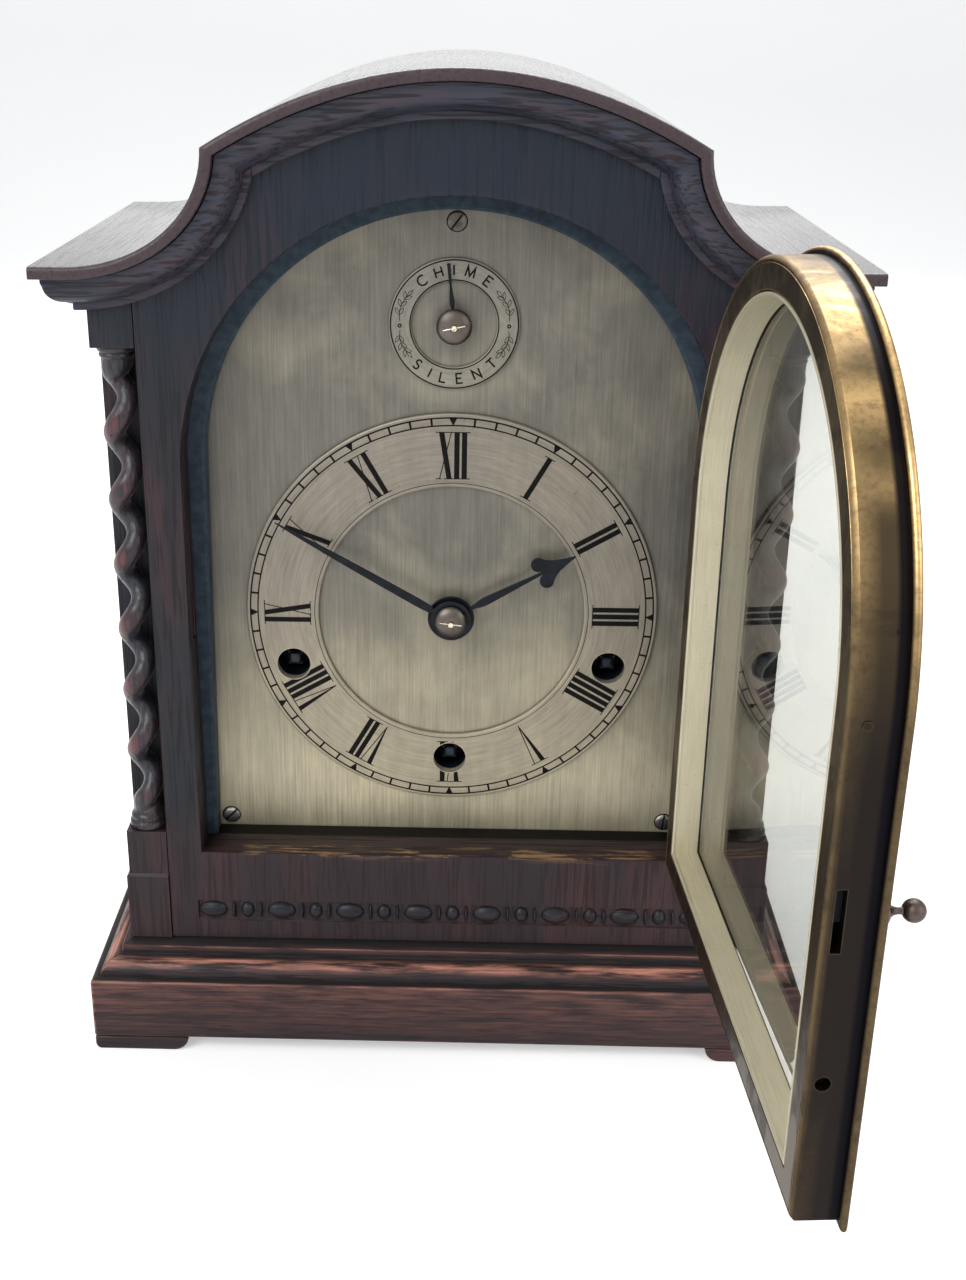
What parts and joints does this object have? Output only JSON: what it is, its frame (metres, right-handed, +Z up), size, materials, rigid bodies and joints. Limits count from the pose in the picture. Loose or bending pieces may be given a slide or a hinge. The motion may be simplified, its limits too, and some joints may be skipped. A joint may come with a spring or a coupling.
{
  "type": "bracket clock",
  "caption": "Arched dark oak table clock with barley-twist corner columns, silvered arched dial, spade hands and a hinged glazed brass bezel standing open.",
  "frame": {"origin": "on the surface the clock stands on, under the middle of its outer box with the bezel open", "axes": "+X to the right and +Y to the back as seen from in front of the dial, +Z up"},
  "size_m": [0.2302, 0.3002, 0.3049],
  "materials": {
    "oak_case": "dark stained oak, waxed",
    "oak_plinth": "red-brown stained oak, waxed",
    "oak_roof": "polished stained oak",
    "oak_inner": "unpolished oak",
    "margin_black": "blackened, satin",
    "brass": "aged lacquered brass",
    "silvered": "silvered brass, brushed",
    "blued_steel": "blued",
    "steel": "polished",
    "glass": "clear"
  },
  "bodies": {
    "case": {"plinth_front": "oak_plinth", "plinth_left": "oak_plinth", "plinth_right": "oak_plinth", "plinth_rear": "oak_plinth", "base_board": "oak_inner", "foot_front_left": "oak_plinth", "foot_front_right": "oak_plinth", "foot_rear_left": "oak_plinth", "foot_rear_right": "oak_plinth", "front_frame": "oak_case", "side_panel_left": "oak_case", "side_panel_right": "oak_case", "back_frame": "oak_case", "roof": "oak_roof", "cornice_front": "oak_case", "cornice_left": "oak_case", "cornice_right": "oak_case", "column_left": "oak_case", "column_right": "oak_case", "top_block_left": "oak_case", "top_block_right": "oak_case", "pedestal_left": "oak_case", "pedestal_right": "oak_case", "bead_and_reel": "oak_case", "dial_surround": "margin_black", "dial_plate": "silvered", "chapter_ring": "silvered", "chime_ring": "silvered", "case_hinge_upper": "brass", "case_hinge_lower": "brass", "front_plate": "brass", "back_plate": "brass", "barrel_left": "brass", "barrel_centre": "brass", "barrel_right": "brass", "seat_board": "oak_inner", "pendulum_cock": "brass", "chime_rods": "steel", "back_door_hinge": "brass"},
    "bezel": {"bezel_frame": "brass", "sight_ring": "silvered", "glass": "glass", "bezel_hinge_upper": "brass", "bezel_hinge_lower": "brass"},
    "latch": {"door_knob": "brass", "latch_tongue": "brass"},
    "minute_arbor": {"minute_hand": "blued_steel", "cannon_wheel": "brass", "hand_collet": "brass"},
    "hour_pipe": {"hour_hand": "blued_steel", "hour_wheel": "brass"},
    "minute_wheel_arbor": {"minute_wheel": "brass"},
    "pointer": {"chime_pointer": "blued_steel", "pointer_collet": "brass"},
    "winding_left": {"winding_arbor_left": "steel"},
    "winding_centre": {"winding_arbor_centre": "steel"},
    "winding_right": {"winding_arbor_right": "steel"},
    "pendulum_swing": {"pendulum": "brass"},
    "rear_door": {"back_door": "oak_case", "back_door_pull": "brass"}
  },
  "joints": [
    {"name": "bezel_hinge", "type": "hinge", "parent": "case", "child": "bezel", "pos_m": [0.07984, 0.0092, 0.1431], "axis": [0, 0, 1], "range_deg": [-93.8, 50]},
    {"name": "latch_turn", "type": "hinge", "parent": "bezel", "child": "latch", "pos_m": [0.10241, -0.14348, 0.1461], "axis": [0.9978, 0.0663, 0], "range_deg": [0, 90]},
    {"name": "minute_turn", "type": "hinge", "parent": "case", "child": "minute_arbor", "pos_m": [0, 0.0286, 0.1431], "axis": [0, 1, 0], "continuous": true},
    {"name": "hour_turn", "type": "hinge", "parent": "case", "child": "hour_pipe", "pos_m": [0, 0.0286, 0.1431], "axis": [0, 1, 0], "continuous": true},
    {"name": "minute_wheel_turn", "type": "hinge", "parent": "case", "child": "minute_wheel_arbor", "pos_m": [0.01273, 0.0286, 0.15583], "axis": [0, 1, 0], "continuous": true},
    {"name": "pointer_turn", "type": "hinge", "parent": "case", "child": "pointer", "pos_m": [0, 0.0286, 0.2333], "axis": [0, 1, 0], "range_deg": [0, 180]},
    {"name": "winding_left_turn", "type": "hinge", "parent": "case", "child": "winding_left", "pos_m": [-0.0496, 0.0286, 0.1257], "axis": [0, 1, 0], "continuous": true},
    {"name": "winding_centre_turn", "type": "hinge", "parent": "case", "child": "winding_centre", "pos_m": [0, 0.0286, 0.0934], "axis": [0, 1, 0], "continuous": true},
    {"name": "winding_right_turn", "type": "hinge", "parent": "case", "child": "winding_right", "pos_m": [0.0496, 0.0286, 0.1257], "axis": [0, 1, 0], "continuous": true},
    {"name": "pendulum_pivot", "type": "hinge", "parent": "case", "child": "pendulum_swing", "pos_m": [0, 0.0982, 0.1911], "axis": [0, 1, 0], "range_deg": [-4, 4]},
    {"name": "rear_door_hinge", "type": "hinge", "parent": "case", "child": "rear_door", "pos_m": [-0.072, 0.1459, 0.1256], "axis": [0, 0, 1], "range_deg": [0, 110]}
  ],
  "couplings": [
    {"joint": "hour_turn", "follows": "minute_turn", "ratio": 0.083333},
    {"joint": "minute_wheel_turn", "follows": "minute_turn", "ratio": -0.66667}
  ]
}
